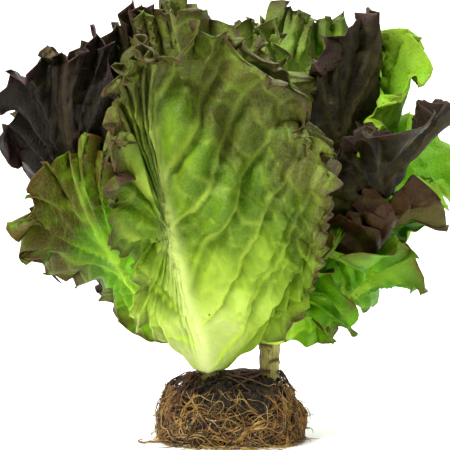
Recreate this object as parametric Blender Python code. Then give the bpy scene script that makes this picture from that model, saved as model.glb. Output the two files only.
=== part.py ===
"""Two red leaf lettuce plants grown together in one plug of peat: a head that stands on its own root ball.

Millimetres throughout; MM turns them into Blender's metres. +Z is up, the head faces -Y, and the origin is
the centre of the root ball's flat underside. The left plant fills the front left of the head, the right
plant its back right. Leaves of one plant are nested like cups, so each has a layer from 1, outermost, to 0,
the heart: a smaller layer is attached higher on the stem and stands more upright, and two layers never cross.
"""

import math

import bmesh
import bpy
from mathutils import Vector, noise

MM = 0.001

# Root ball: a plug of peat held together by roots.
BALL_WIDTH = 80.0
BALL_DEPTH = 68.0
BALL_HEIGHT = 35.0
BALL_TOP_SHARE = 0.86
BALL_CORNER = 0.72
BALL_LUMPS = 1.6
BALL_TOP_ROUNDING = 0.10
BALL_FOOT_ROUNDING = 0.04

# Stems.
STEM_SOCKET_DEPTH = 9.0
STEM_SIDES = 16
STEM_TIP = 5.0
CROWN_FLARE = 2.0

# Leaves. A stalk is as thick as rib_share of its leaf's width, thinning to the blade.
BLADE_THICKNESS = 0.9
RIB_SHARE = 0.021
RIB_HALF_WIDTH = 4.5
STALK_HALF_WIDTH = 8.0
WIDEST_AT = 0.68
TOP_WIDTH_SHARE = 0.80
SHOULDER_DROP = 0.27
WRAP = 1.4
NEAR_REACH = 15.0
MIDDLE_REACH = 95.0
FAR_REACH = 190.0

# Every layer of a plant rises and falls with the same folds, so the folds never meet.
FOLD_DEPTH = 2.2
FOLDS_AROUND = 7
FOLD_LENGTH = 75.0

# Roots that run over the root ball and out along the ground.
ROOT_RADIUS = 0.8
ROOT_SIDES = 6
ROOT_CLEARANCE = 0.5

# Two pieces that touch are modelled this far apart.
GAP = 0.3

# Each stem stands at (x, y); its leaves are attached from leaf_low to leaf_top above the root ball. The spread
# is how far the outermost layer leans to each side, as run over rise, at the near, middle and far reach along
# a leaf; cut limits it on the side of the other plant, which is at cut_azimuth. The heart leans away from it.
PLANTS = {
    "left": {
        "x": -11.0, "y": -3.0, "foot_radius": 6.0,
        "leaf_low": 4.5, "low_radius": 8.0, "leaf_top": 41.0, "top_radius": 3.4,
        "spread": {"left": (0.82, 1.09, 0.69), "right": (0.9, 1.35, 1.0),
                   "front": (0.68, 0.53, 0.20), "back": (0.82, 0.92, 0.62)},
        "cut_azimuth": 62.0, "cut": 0.34, "heart": (-0.127, -0.238),
    },
    "right": {
        "x": 21.0, "y": 3.0, "foot_radius": 5.4,
        "leaf_low": 22.0, "low_radius": 7.2, "leaf_top": 58.0, "top_radius": 3.2,
        "spread": {"left": (0.93, 1.03, 0.73), "right": (2.07, 1.22, 0.47),
                   "front": (0.82, 0.77, 0.57), "back": (0.68, 0.55, 0.23)},
        "cut_azimuth": 242.0, "cut": 0.34, "heart": (0.127, 0.238),
    },
}

# Azimuth is counted in degrees from +X towards +Y, so -90 faces the front. Lopsided is the extra share of
# the width on the side of increasing azimuth.
LEAVES = {
    "front_leaf": {"plant": "left", "azimuth": -101, "layer": 1.00, "length": 204, "width": 140,
                   "lopsided": 0.6},
    "front_left_leaf": {"plant": "left", "azimuth": -143, "layer": 0.92, "length": 166, "width": 96},
    "low_left_leaf": {"plant": "left", "azimuth": -164, "layer": 0.84, "length": 142, "width": 100},
    "high_left_leaf": {"plant": "left", "azimuth": -152, "layer": 0.74, "length": 196, "width": 108},
    "inner_front_leaf": {"plant": "left", "azimuth": -80, "layer": 0.66, "length": 196, "width": 110},
    "back_left_leaf": {"plant": "left", "azimuth": 156, "layer": 0.60, "length": 166, "width": 92},
    "second_front_leaf": {"plant": "left", "azimuth": -124, "layer": 0.53, "length": 192, "width": 92},
    "inner_left_leaf": {"plant": "left", "azimuth": 180, "layer": 0.453, "length": 176, "width": 82},
    "third_front_leaf": {"plant": "left", "azimuth": -86, "layer": 0.39, "length": 182, "width": 76},
    "left_inside_leaf_1": {"plant": "left", "azimuth": 72, "layer": 0.74, "length": 170, "width": 84},
    "left_inside_leaf_2": {"plant": "left", "azimuth": 6, "layer": 0.31, "length": 160, "width": 42},
    "left_heart_leaf_1": {"plant": "left", "azimuth": 218, "layer": 0.25, "length": 160, "width": 58},
    "left_heart_leaf_2": {"plant": "left", "azimuth": -46, "layer": 0.16, "length": 138, "width": 38},
    "left_heart_leaf_3": {"plant": "left", "azimuth": 130, "layer": 0.05, "length": 112, "width": 32},
    "low_middle_leaf": {"plant": "right", "azimuth": -70, "layer": 1.11, "length": 58, "width": 64},
    "low_right_leaf": {"plant": "right", "azimuth": -22, "layer": 1.00, "length": 98, "width": 104},
    "right_back_leaf": {"plant": "right", "azimuth": 38, "layer": 0.93, "length": 182, "width": 122},
    "back_leaf": {"plant": "right", "azimuth": 98, "layer": 0.85, "length": 178, "width": 122},
    "right_leaf": {"plant": "right", "azimuth": -6, "layer": 0.77, "length": 122, "width": 108},
    "back_middle_leaf": {"plant": "right", "azimuth": 130, "layer": 0.76, "length": 174, "width": 100},
    "high_right_leaf": {"plant": "right", "azimuth": -14, "layer": 0.585, "length": 146, "width": 100},
    "inner_back_leaf": {"plant": "right", "azimuth": 70, "layer": 0.53, "length": 176, "width": 92},
    "inner_right_leaf": {"plant": "right", "azimuth": 4, "layer": 0.44, "length": 164, "width": 80},
    "second_back_leaf": {"plant": "right", "azimuth": 112, "layer": 0.38, "length": 172, "width": 74},
    "middle_leaf": {"plant": "right", "azimuth": -28, "layer": 0.29, "length": 156, "width": 64},
    "right_inside_leaf_1": {"plant": "right", "azimuth": 238, "layer": 0.70, "length": 164, "width": 58},
    "right_inside_leaf_2": {"plant": "right", "azimuth": 204, "layer": 0.46, "length": 158, "width": 54},
    "right_heart_leaf_1": {"plant": "right", "azimuth": 150, "layer": 0.17, "length": 140, "width": 36},
    "right_heart_leaf_2": {"plant": "right", "azimuth": 40, "layer": 0.04, "length": 114, "width": 34},
}

# The thick roots. One on the ball has its azimuth and height, as a share of the ball's, at the start, middle
# and end. One on the ground has the azimuth where it leaves the ball, then x and y in turn.
BALL_ROOTS = {
    "root_front_1": ((-124, 0.86), (-131, 0.45), (-122, 0.06)),
    "root_front_2": ((-116, 0.55), (-100, 0.24), (-78, 0.40)),
    "root_front_3": ((-84, 0.10), (-66, 0.36), (-44, 0.30)),
    "root_front_4": ((-60, 0.82), (-50, 0.62), (-36, 0.12)),
    "root_left": ((-150, 0.88), (-168, 0.50), (-150, 0.14)),
    "root_right": ((-12, 0.90), (8, 0.45), (-6, 0.10)),
    "root_back_1": ((62, 0.84), (78, 0.40), (56, 0.08)),
    "root_back_2": ((128, 0.80), (104, 0.42), (134, 0.14)),
}
GROUND_ROOTS = {
    "ground_root_1": (-98, ((-1, -43), (8, -45), (14, -52))),
    "ground_root_2": (-84, ((9, -40), (17, -43), (27, -41))),
    "ground_root_3": (-113, ((-18, -41), (-12, -47), (-3, -50))),
    "ground_root_4": (-164, ((-45, -16), (-50, -12), (-48, -4))),
}
ROOT_STEPS = 14
COARSE_BELOW = 150


def smooth(low, high, value):
    """0 below low, 1 above high, and a smooth step between them."""
    share = min(1.0, max(0.0, (value - low) / (high - low)))
    return share * share * (3 - 2 * share)


def at_reach(values, reach):
    """The value at this reach, from those at the near, middle and far reach."""
    near, middle, far = values
    if reach < MIDDLE_REACH:
        return near + (middle - near) * smooth(NEAR_REACH, MIDDLE_REACH, reach)
    return middle + (far - middle) * smooth(MIDDLE_REACH, FAR_REACH, reach)


def lean_of(plant, azimuth, reach):
    """How far the outermost layer leans: a rounded box, cut off on the side of the other plant."""
    along, across = math.cos(azimuth), math.sin(azimuth)
    side = at_reach(plant["spread"]["right" if along > 0 else "left"], reach)
    face = at_reach(plant["spread"]["back" if across > 0 else "front"], reach)
    towards_other = max(0.0, math.cos(azimuth - math.radians(plant["cut_azimuth"])))
    total = abs(along / side) ** 3 + abs(across / face) ** 3 + (towards_other / plant["cut"]) ** 3
    return total ** (-1 / 3)


def place(plant, layer, azimuth, reach, start):
    """The point of a layer that lies this far along a leaf in this direction."""
    lean = layer * lean_of(plant, azimuth, reach)
    settle = smooth(0, 60, reach)
    way = Vector((lean * math.cos(azimuth) + settle * plant["heart"][0],
                  lean * math.sin(azimuth) + settle * plant["heart"][1], 1)).normalized()
    foot = Vector((plant["x"] + start * math.cos(azimuth), plant["y"] + start * math.sin(azimuth),
                   BALL_HEIGHT + plant["leaf_top"] - layer * (plant["leaf_top"] - plant["leaf_low"])))
    fold = math.sin(FOLDS_AROUND * azimuth + math.tau * reach / FOLD_LENGTH) * smooth(30, 110, reach)
    outward = Vector((math.cos(azimuth), math.sin(azimuth), 0))
    return foot + reach * way + FOLD_DEPTH * fold * outward


def half_width(leaf, along, across):
    """Half the flat leaf's width at a share of its length: a winged stalk that opens into a broad fan."""
    uneven = leaf.get("lopsided", 0)
    widest = leaf["width"] / 2 * (1 + uneven if across > 0 else 1 - uneven)
    if along < WIDEST_AT:
        share = math.sin(math.pi / 2 * along / WIDEST_AT)
    else:
        fall = (along - WIDEST_AT) / (1 - WIDEST_AT)
        share = TOP_WIDTH_SHARE + (1 - TOP_WIDTH_SHARE) * math.cos(math.pi / 2 * fall)
    stalk = min(STALK_HALF_WIDTH, 0.16 * leaf["width"])
    return stalk + (widest - stalk) * share


def rib_share(along, across_mm):
    """1 on the thick midrib at the stalk, 0 out on the blade."""
    return math.exp(-(across_mm / RIB_HALF_WIDTH) ** 2) * (1 - 0.85 * smooth(0.0, 0.75, along))


def stem_radius(plant, layer):
    """The stem's radius where this layer's leaf is attached."""
    return plant["top_radius"] + layer * (plant["low_radius"] - plant["top_radius"])


def rib_thickness(leaf):
    return max(1.6, RIB_SHARE * leaf["width"])


def leaf_point(leaf, along, across):
    """The middle surface of a leaf, with along from 0 at the stalk to 1, and across from -1 to 1."""
    plant = PLANTS[leaf["plant"]]
    layer, azimuth = leaf["layer"], math.radians(leaf["azimuth"])
    lean = layer * lean_of(plant, azimuth, 0)
    start = stem_radius(plant, layer) + GAP + rib_thickness(leaf) / 2 / math.hypot(1, lean)
    reach = leaf["length"] * along * (1 - SHOULDER_DROP * abs(across) ** 2.6 * along ** 1.5)
    run = layer * lean_of(plant, azimuth, reach)
    radius = start + reach * run / math.hypot(1, run)
    sideways = across * half_width(leaf, along, across)
    turn = WRAP * math.tanh(sideways / radius / WRAP)
    return place(plant, layer, azimuth + turn, reach, start)


def finish(name, mesh_data, colour, roughness):
    """A named object with its own material, made from a bmesh in millimetres."""
    bmesh.ops.scale(mesh_data, vec=(MM, MM, MM), verts=mesh_data.verts)
    mesh = bpy.data.meshes.new(name)
    mesh_data.to_mesh(mesh)
    mesh_data.free()
    mesh.shade_smooth()
    body = bpy.data.objects.new(name, mesh)
    bpy.context.scene.collection.objects.link(body)
    material = bpy.data.materials.new(name)
    material.use_nodes = True
    shader = material.node_tree.nodes["Principled BSDF"]
    shader.inputs["Base Color"].default_value = (*colour, 1)
    shader.inputs["Roughness"].default_value = roughness
    mesh.materials.append(material)
    return body


def make_leaf(name, leaf):
    coarse = leaf["length"] < COARSE_BELOW
    rows, columns = (8, 8) if coarse else (11, 10)
    blade = bmesh.new()
    bmesh.ops.create_grid(blade, x_segments=columns, y_segments=rows, size=1)
    shares = [((v.co.y + 1) / 2, v.co.x) for v in blade.verts]
    for vert, (along, across) in zip(blade.verts, shares):
        vert.co = leaf_point(leaf, along, across)
    weights = [rib_share(a, c * half_width(leaf, a, c)) for a, c in shares]
    body = finish(name, blade, (0.16, 0.30, 0.05), 0.5)
    thick = body.vertex_groups.new(name="thickness")
    for index, weight in enumerate(weights):
        thick.add([index], weight, "REPLACE")
    solidify = body.modifiers.new("thickness", "SOLIDIFY")
    solidify.thickness = rib_thickness(leaf) * MM
    solidify.offset = 0
    solidify.vertex_group = "thickness"
    solidify.thickness_vertex_group = BLADE_THICKNESS / rib_thickness(leaf)
    return body


def make_stem(name, plant):
    """A short upright stalk, standing in its socket in the peat, with a domed growing tip."""
    bottom = BALL_HEIGHT - STEM_SOCKET_DEPTH
    low, high = BALL_HEIGHT + plant["leaf_low"], BALL_HEIGHT + plant["leaf_top"]
    levels = [(bottom, 0.8 * plant["foot_radius"]), (bottom + 2, plant["foot_radius"]),
              (low - CROWN_FLARE, plant["foot_radius"]), (low, plant["low_radius"]),
              (high, plant["top_radius"]), (high + STEM_TIP, 0.3 * plant["top_radius"])]
    stem = bmesh.new()
    ring = bmesh.ops.create_circle(stem, segments=STEM_SIDES, radius=levels[0][1], cap_ends=True)["verts"]
    bmesh.ops.translate(stem, vec=(plant["x"], plant["y"], bottom), verts=ring)
    edges = stem.edges[:]
    for (z0, r0), (z1, r1) in zip(levels, levels[1:]):
        grown = bmesh.ops.extrude_edge_only(stem, edges=edges)["geom"]
        edges = [g for g in grown if isinstance(g, bmesh.types.BMEdge)]
        centre = Vector((plant["x"], plant["y"], z0))
        for vert in [g for g in grown if isinstance(g, bmesh.types.BMVert)]:
            vert.co = centre + (vert.co - centre) * (r1 / r0) + Vector((0, 0, z1 - z0))
    bmesh.ops.contextual_create(stem, geom=edges)
    bmesh.ops.recalc_face_normals(stem, faces=stem.faces)
    return finish(name, stem, (0.40, 0.42, 0.14), 0.55)


def ball_surface(way):
    """Where the direction way leaves the root ball, a box with rounded corners that narrows upwards; way is a
    point of a cube from -1 to 1."""
    half = BALL_HEIGHT / 2
    taper = 1 - (1 - BALL_TOP_SHARE) * ((way.z + 1) / 2) ** 1.5
    flat = math.hypot(way.x, way.y)
    corner = (max(abs(way.x), abs(way.y)) / flat) ** BALL_CORNER if flat > 1e-6 else 1
    point = Vector((way.x * BALL_WIDTH / 2 * taper * corner, way.y * BALL_DEPTH / 2 * taper * corner,
                    half + way.z * half))
    lump = noise.noise(point * 0.11) * BALL_LUMPS * smooth(-1, -0.6, way.z)
    return point + Vector((way.x, way.y, max(0, way.z))).normalized() * lump


def make_root_ball():
    ball = bmesh.new()
    bmesh.ops.create_cube(ball, size=2)
    bmesh.ops.subdivide_edges(ball, edges=ball.edges, cuts=7, use_grid_fill=True)
    for vert in ball.verts:
        way = vert.co.copy()
        rounding = smooth(0.2, 1, abs(way.z)) * smooth(0.5, 1, max(abs(way.x), abs(way.y)))
        shrink = 1 - rounding * (BALL_TOP_ROUNDING if way.z > 0 else BALL_FOOT_ROUNDING)
        vert.co = ball_surface(Vector((way.x * shrink, way.y * shrink, way.z)))
        if way.z < -0.999:
            vert.co.z = 0
    bmesh.ops.recalc_face_normals(ball, faces=ball.faces)
    return finish("root_ball", ball, (0.09, 0.06, 0.04), 0.95)


def side_of_ball(azimuth, height):
    """A point just outside the side of the ball, with height from 0 to 1."""
    turn = math.radians(azimuth)
    square = max(abs(math.cos(turn)), abs(math.sin(turn)))
    point = ball_surface(Vector((math.cos(turn) / square, math.sin(turn) / square, 2 * height - 1)))
    outward = Vector((math.cos(turn), math.sin(turn), 0.25))
    return point + outward.normalized() * (ROOT_RADIUS + ROOT_CLEARANCE)


def blend(stops, share):
    """A smooth curve through evenly spaced stops, at this share of its length."""
    at = share * (len(stops) - 1)
    index = min(int(at), len(stops) - 2)
    t = at - index
    last = len(stops) - 1
    before, start, end, after = (Vector(stops[min(max(index + k, 0), last)]) for k in (-1, 0, 1, 2))
    return 0.5 * (2 * start + (end - before) * t + (2 * before - 5 * start + 4 * end - after) * t ** 2
                  + (3 * start - before - 3 * end + after) * t ** 3)


def make_root(name, points):
    """A thin round root through these points, narrowing to its end."""
    root = bmesh.new()
    ring = bmesh.ops.create_circle(root, segments=ROOT_SIDES, radius=ROOT_RADIUS, cap_ends=True)["verts"]
    edges = root.edges[:]
    last = Vector((0, 0, 0))
    facing = Vector((0, 0, 1))
    for index, point in enumerate(points):
        way = (points[min(index + 1, len(points) - 1)] - points[max(index - 1, 0)]).normalized()
        if index:
            grown = bmesh.ops.extrude_edge_only(root, edges=edges)["geom"]
            edges = [g for g in grown if isinstance(g, bmesh.types.BMEdge)]
            ring = [g for g in grown if isinstance(g, bmesh.types.BMVert)]
        turn = facing.rotation_difference(way).to_matrix()
        slim = 1 - 0.04 if index else 1
        for vert in ring:
            vert.co = point + turn @ (vert.co - last) * slim
        last, facing = point, way
    bmesh.ops.contextual_create(root, geom=edges)
    bmesh.ops.recalc_face_normals(root, faces=root.faces)
    return finish(name, root, (0.35, 0.22, 0.10), 0.8)


def make_roots():
    for name, stops in BALL_ROOTS.items():
        path = [blend(stops, step / ROOT_STEPS) for step in range(ROOT_STEPS + 1)]
        make_root(name, [side_of_ball(azimuth, height) for azimuth, height in path])
    for name, (azimuth, along) in GROUND_ROOTS.items():
        start = side_of_ball(azimuth, ROOT_RADIUS / BALL_HEIGHT).xy * (1 - 1.3 * BALL_FOOT_ROUNDING)
        stops = [start, *along]
        path = [blend(stops, step / ROOT_STEPS) for step in range(ROOT_STEPS + 1)]
        make_root(name, [Vector((x, y, ROOT_RADIUS)) for x, y in path])


def cut_sockets(ball):
    """The holes in the top of the peat that the stems stand in."""
    for name, plant in PLANTS.items():
        cutter = bmesh.new()
        bottom = BALL_HEIGHT - STEM_SOCKET_DEPTH - GAP
        hole = bmesh.ops.create_cone(cutter, cap_ends=True, segments=STEM_SIDES, depth=2 * STEM_SOCKET_DEPTH,
                                     radius1=plant["foot_radius"] + 2 * GAP,
                                     radius2=plant["foot_radius"] + 6 * GAP)["verts"]
        bmesh.ops.translate(cutter, vec=(plant["x"], plant["y"], bottom + STEM_SOCKET_DEPTH), verts=hole)
        tool = finish(f"{name}_socket", cutter, (1, 1, 1), 1)
        tool.hide_render = True
        tool.display_type = "WIRE"
        cut = ball.modifiers.new(f"{name} socket", "BOOLEAN")
        cut.operation = "DIFFERENCE"
        cut.object = tool


def main():
    for old in list(bpy.data.objects):
        bpy.data.objects.remove(old, do_unlink=True)
    ball = make_root_ball()
    cut_sockets(ball)
    for name, plant in PLANTS.items():
        make_stem(f"{name}_stem", plant)
    make_roots()
    for name, leaf in LEAVES.items():
        make_leaf(name, leaf)


main()
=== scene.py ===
import math
import random

import bmesh
import bpy
import numpy as np
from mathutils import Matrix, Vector, noise


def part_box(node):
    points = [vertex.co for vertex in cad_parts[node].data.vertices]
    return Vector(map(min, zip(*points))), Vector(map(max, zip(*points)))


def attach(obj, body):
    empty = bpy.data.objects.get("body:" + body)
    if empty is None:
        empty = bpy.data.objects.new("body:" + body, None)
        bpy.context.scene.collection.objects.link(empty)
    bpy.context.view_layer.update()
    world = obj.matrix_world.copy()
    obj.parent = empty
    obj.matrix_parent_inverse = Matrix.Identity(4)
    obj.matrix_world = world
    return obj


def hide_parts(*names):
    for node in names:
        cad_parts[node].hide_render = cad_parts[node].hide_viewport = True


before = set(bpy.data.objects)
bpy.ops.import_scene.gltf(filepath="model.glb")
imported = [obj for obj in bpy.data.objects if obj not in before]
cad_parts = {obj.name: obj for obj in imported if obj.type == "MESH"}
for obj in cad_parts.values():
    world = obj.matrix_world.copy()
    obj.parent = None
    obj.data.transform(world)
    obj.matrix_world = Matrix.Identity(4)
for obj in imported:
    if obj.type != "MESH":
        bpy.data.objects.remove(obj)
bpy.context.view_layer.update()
mm = 0.001


def ramp(low, high, value):
    share = np.clip((value - low) / (high - low), 0, 1)
    return share * share * (3 - 2 * share)


def wander(x, y, seed):
    # smooth noise from -1 to 1 over two coordinates, the same on every run
    shape = np.shape(x)
    pairs = zip(np.ravel(x).tolist(), np.ravel(y).tolist())
    return np.array([noise.noise((a, b, seed)) for a, b in pairs]).reshape(shape) * 1.6


def linearColour(hexCode):
    # sRGB hex to the linear colour that the shader wants
    parts = [int(hexCode[i:i + 2], 16) / 255 for i in (1, 3, 5)]
    return (*[c / 12.92 if c <= 0.04045 else ((c + 0.055) / 1.055) ** 2.4 for c in parts], 1)


def addNode(tree, kind, links=None, **settings):
    # a node with its settings; inputs are set by name or number, and links join other outputs to them
    node = tree.nodes.new(kind)
    for key, value in settings.items():
        if key == "inputs":
            for name, amount in value.items():
                node.inputs[name].default_value = amount
        else:
            setattr(node, key, value)
    for name, output in (links or {}).items():
        tree.links.new(output, node.inputs[name])
    return node


def newMaterial(name):
    material = bpy.data.materials.new(name)
    material.use_nodes = True
    return material, material.node_tree, material.node_tree.nodes["Principled BSDF"]


# leaf tissue in sRGB hex: low is the stalk end, tone the blade's second colour, face the blade inside,
# red the stain that spreads from the tip, rim the crisped edge
leafTissue = {
    "tinged": {"low": "#ccf036", "rib": "#ecf6a4", "blade": "#6a8c10", "tone": "#3f6404", "face": "#7c9a22",
               "vein": "#a4ba40", "red": "#4a3a1e", "rim": "#442c1c", "roughness": 0.46, "specular": 0.2},
    "bright": {"low": "#a0dc08", "rib": "#ccee54", "blade": "#60a200", "tone": "#3a7600", "face": "#66a000",
               "vein": "#86b40e", "red": "#47300f", "rim": "#5a3d12", "roughness": 0.46, "specular": 0.2},
    # painted light: a brightened copy of the green tissue, partly the leaf's own bright green and partly a
    # painted glow of light coming through it from behind
    "paintedBacklitGreen": {"low": "#b4e428", "rib": "#d0ee60", "blade": "#86c414", "tone": "#62a406", "face": "#94d01c",
              "vein": "#aedc48", "red": "#7a8a20", "rim": "#8aa030", "roughness": 0.46, "specular": 0.2},
    "maroon": {"low": "#728216", "rib": "#67502c", "blade": "#52471f", "tone": "#353214", "face": "#574627",
               "vein": "#524c24", "red": "#17110b", "rim": "#432b26", "roughness": 0.42, "specular": 0.16},
    "deep": {"low": "#5e7014", "rib": "#67502c", "blade": "#211b0f", "tone": "#15130b", "face": "#2c2013",
             "vein": "#3a3118", "red": "#15100a", "rim": "#40282a", "roughness": 0.42, "specular": 0.14},
    "olive": {"low": "#86b20c", "rib": "#b4c83c", "blade": "#49560a", "tone": "#334206", "face": "#56600e",
              "vein": "#6c6c28", "red": "#422812", "rim": "#3c2418", "roughness": 0.44, "specular": 0.18},
    "light": {"low": "#cde26a", "rib": "#e2f09c", "blade": "#86a034", "tone": "#5c7c18", "face": "#92ae3e",
              "vein": "#a4b85c", "red": "#442c18", "rim": "#3e2816", "roughness": 0.46, "specular": 0.2},
}


leafPattern = {
    "mottleScale": 90.0,   # 11 mm patches down to 0.3 mm
    "netScale": 420.0,     # the finest net of veins, about 2.4 mm across
    "speckScale": 130.0,   # grains of peat splashed on, 8 mm apart and under 1 mm
    "bumpDepth": 0.0009, "translucence": 0.12, "translucentDepth": 0.0015,
}


def leafMaterial(name, tissue, inner):
    # living lettuce leaf: a waxy cuticle over wet, see-through tissue, so it is satin and lets some light in;
    # its veins are paler than the blade
    material, tree, shader = newMaterial(name)
    masks = {key: addNode(tree, "ShaderNodeAttribute", attribute_name=key).outputs["Fac"]
             for key in ("vein", "rim", "blush", "stalk", "tone", "creaseShade", "rib")}
    place = addNode(tree, "ShaderNodeTexCoord").outputs["Object"]
    mottle = addNode(tree, "ShaderNodeTexNoise", {"Vector": place},
                     inputs={"Scale": leafPattern["mottleScale"], "Detail": 6.0, "Roughness": 0.6})
    cells = addNode(tree, "ShaderNodeTexVoronoi", {"Vector": place}, feature="DISTANCE_TO_EDGE",
                    inputs={"Scale": leafPattern["netScale"]})

    def feed(node, sockets, values):
        # each value is set on its socket, or linked to it where it is another node's output
        for socket, value in zip(sockets, values):
            if isinstance(value, (float, int, tuple)):
                socket.default_value = value
            else:
                tree.links.new(value, socket)
        return node

    def mix(factor, first, second):
        node = addNode(tree, "ShaderNodeMix", data_type="RGBA")
        sockets = [node.inputs[key] for key in ("Factor", "A", "B")]
        return feed(node, sockets, (factor, first, second)).outputs["Result"]

    def combine(operation, first, second, clamp=True):
        node = addNode(tree, "ShaderNodeMath", operation=operation, use_clamp=clamp)
        return feed(node, node.inputs, (first, second)).outputs["Value"]

    def between(value, low, high):
        return addNode(tree, "ShaderNodeMapRange", {"Value": value}, interpolation_type="SMOOTHSTEP",
                       inputs={"From Min": low, "From Max": high}).outputs["Result"]

    colour = {key: linearColour(tissue[key]) for key in
              ("low", "rib", "blade", "tone", "face", "vein", "red", "rim")}
    patches = mottle.outputs["Fac"]
    blade = mix(between(combine("ADD", masks["tone"], patches), 0.55, 1.25),
                colour["face" if inner else "blade"], colour["tone"])
    blade = mix(masks["stalk"], blade, colour["low"])
    blade = mix(combine("MULTIPLY", combine("POWER", masks["stalk"], 3.0), 0.75), blade, colour["rib"])
    # painted shade: the colour is darkened towards the tone colour where creaseShade is high, in the grooves,
    # creases and hollows between the veins
    blade = mix(combine("MULTIPLY", masks["creaseShade"], 0.72), blade, colour["tone"])
    flush = combine("MULTIPLY", masks["blush"], combine("ADD", between(patches, 0.3, 0.6), 0.45))
    blade = mix(flush, blade, colour["red"])
    net = between(cells.outputs["Distance"], 0.08, 0.0)
    blade = mix(combine("MULTIPLY", net, 0.16), blade, colour["vein"])
    veinColour = mix(masks["stalk"], colour["vein"], colour["low"])
    # stained veins show less
    plain = combine("SUBTRACT", 0.5 if inner else 0.9, combine("MULTIPLY", masks["blush"], 0.35))
    blade = mix(combine("MULTIPLY", masks["vein"], plain), blade, veinColour)
    blade = mix(combine("MULTIPLY", masks["rib"], 0.5 if inner else 0.9), blade, colour["rib"])
    crisp = combine("MULTIPLY", masks["rim"], between(patches, 0.35, 0.6))
    blade = mix(crisp, blade, colour["rim"])
    specks = addNode(tree, "ShaderNodeTexVoronoi", {"Vector": place},
                     inputs={"Scale": leafPattern["speckScale"]})
    dirt = combine("MULTIPLY", between(specks.outputs["Distance"], 0.10, 0.04), between(patches, 0.56, 0.62))
    blade = mix(dirt, blade, linearColour("#2c2114"))
    tree.links.new(blade, shader.inputs["Base Color"])
    gloss = addNode(tree, "ShaderNodeMapRange", {"Value": patches},
                    inputs={"To Min": tissue["roughness"] - 0.08, "To Max": tissue["roughness"] + 0.22})
    tree.links.new(gloss.outputs["Result"], shader.inputs["Roughness"])
    relief = combine("ADD", combine("MULTIPLY", cells.outputs["Distance"], 1.0, False),
                     combine("MULTIPLY", patches, 0.6, False), False)
    bump = addNode(tree, "ShaderNodeBump", {"Height": relief},
                   inputs={"Strength": 0.5, "Distance": leafPattern["bumpDepth"]})
    tree.links.new(bump.outputs["Normal"], shader.inputs["Normal"])
    shader.inputs["Subsurface Weight"].default_value = leafPattern["translucence"]
    shader.inputs["Subsurface Radius"].default_value = (0.5, 1.0, 0.15)
    shader.inputs["Subsurface Scale"].default_value = leafPattern["translucentDepth"]
    shader.inputs["Specular IOR Level"].default_value = tissue["specular"]
    return material


leafMaterials = {}
for kind, tissue in leafTissue.items():
    leafMaterials[kind] = (leafMaterial(f"{kind}LeafOutside", tissue, False),
                           leafMaterial(f"{kind}LeafInside", tissue, True))
print("leaf tissue ready")


def stemPlace(node):
    # the stem's axis in mm
    low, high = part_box(node)
    return (low[0] + high[0]) / 2 / mm, (low[1] + high[1]) / 2 / mm


leftX, leftY = stemPlace("left_stem")
rightX, rightY = stemPlace("right_stem")
# the two stems in mm, each with its leaves set in layers between leafTop (layer 0) and leafLow (layer 1);
# spread is the outermost layer's run over rise near the stem, in the middle and far up
plants = {
    "left": {"x": leftX, "y": leftY, "footRadius": 6.0, "leafLow": 39.5, "lowRadius": 8.0,
             "leafTop": 76.0, "topRadius": 3.4,
             "spread": {"left": (0.82, 1.09, 0.69), "right": (0.9, 1.35, 1.0),
                        "front": (0.68, 0.53, 0.20), "back": (0.82, 0.92, 0.62)},
             "cutAzimuth": math.radians(62), "cut": 0.34, "heart": (-0.127, -0.238)},
    "right": {"x": rightX, "y": rightY, "footRadius": 5.4, "leafLow": 57.0, "lowRadius": 7.2,
              "leafTop": 93.0, "topRadius": 3.2,
              "spread": {"left": (0.93, 1.03, 0.73), "right": (2.07, 1.22, 0.47),
                         "front": (0.82, 0.77, 0.57), "back": (0.68, 0.55, 0.23)},
              "cutAzimuth": math.radians(242), "cut": 0.34, "heart": (0.127, 0.238)},
}
leafShape = {
    # outline, as shares of the length or width unless in mm
    "widestAt": 0.68, "topWidth": 0.80, "shoulderDrop": 0.27, "base": 0.85, "drawnIn": (0.99, 1),
    "stalkHalf": 8.0, "scallopWave": 21, "scallopHeight": 4.5, "toothWave": 8.5, "toothHeight": 0.7,
    # how it cups round the stem, in mm but for the wrap in radians
    "wrap": 1.4, "gap": 0.3,
    "nearReach": 15, "middleReach": 95, "farReach": 190,
    "foldDepth": 2.2, "foldsAround": 7, "foldLength": 75,
    # blade, veins and puckers in mm; cell is the distance between mesh points in its middle
    "cell": 1.5, "thickness": 0.5, "ribShare": 0.021, "leastRib": 1.6,
    "sideVeinSpacing": 23, "crossVeinSpacing": 10, "pucker": 2.2, "crumple": 2.4,
    # frills: waves along the margin and their heights in mm, and how far the edge rolls over in degrees
    "bigWave": 37, "midWave": 12.5, "smallWave": 7.5, "zone": 22, "midHeight": 7.4, "smallHeight": 2.2,
    "roll": 62, "rollSwing": 40,
}
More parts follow.
